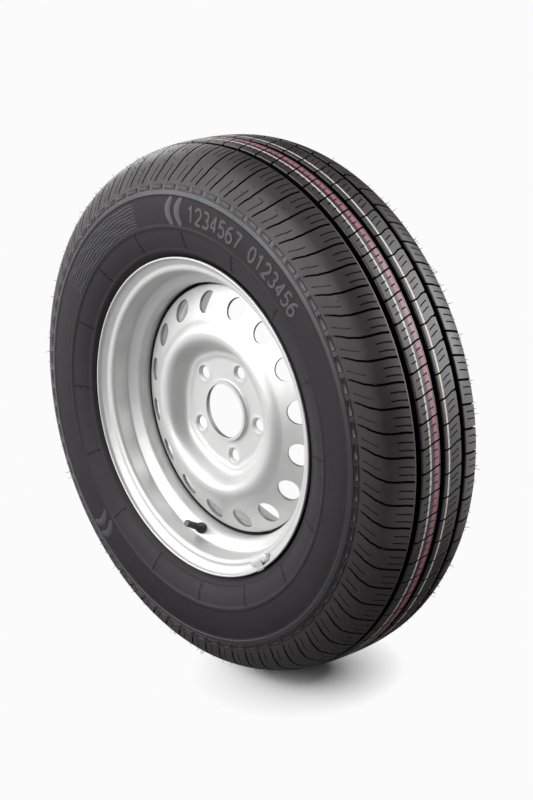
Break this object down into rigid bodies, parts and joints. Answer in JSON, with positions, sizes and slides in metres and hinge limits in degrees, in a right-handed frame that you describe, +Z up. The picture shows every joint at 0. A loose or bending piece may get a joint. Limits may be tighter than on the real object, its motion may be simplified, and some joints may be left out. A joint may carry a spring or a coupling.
{
  "type": "wheel and tyre",
  "caption": "Pressed steel road wheel with round vent holes and a snap-in air valve, fitted with a van tyre that has grooved ribs and slotted shoulders.",
  "frame": {"origin": "on the wheel's axis, midway between the rim's flanges, which is the centre of the box", "axes": "+Y along the wheel's axis from the outer face towards the vehicle, +Z up with the wheel standing on its tread, +X to the right seen from the outer face"},
  "size_m": [0.65, 0.188, 0.65],
  "materials": {
    "tyre_rubber": "satin black",
    "wheel_paint": "silver paint",
    "black_rubber": "matt",
    "brass": "turned",
    "steel": "bright",
    "black_plastic": "matt",
    "weight_metal": "grey coating"
  },
  "bodies": {
    "wheel": {"tyre": "tyre_rubber", "rim": "wheel_paint", "disc": "wheel_paint", "weld_beads": "wheel_paint", "valve_body": "black_rubber", "valve_stem": "brass", "valve_core": "brass", "core_gasket": "black_rubber", "valve_spring": "steel", "balance_weight": "weight_metal", "balance_clip": "steel"},
    "pin": {"valve_pin": "brass", "valve_seal": "black_rubber"},
    "cap": {"valve_cap": "black_plastic", "cap_seal": "black_rubber"}
  },
  "joints": [
    {"name": "valve_press", "type": "slide", "parent": "wheel", "child": "pin", "axis": [-0.1057, 0.866, -0.4887], "range_m": [0, 0.0015], "stiffness_N_per_m": 600, "springref_m": -0.002, "deforming": ["valve_spring"]},
    {"name": "cap_off", "type": "slide", "parent": "wheel", "child": "cap", "axis": [0.1057, -0.866, 0.4887], "range_m": [0, 0.014]}
  ]
}
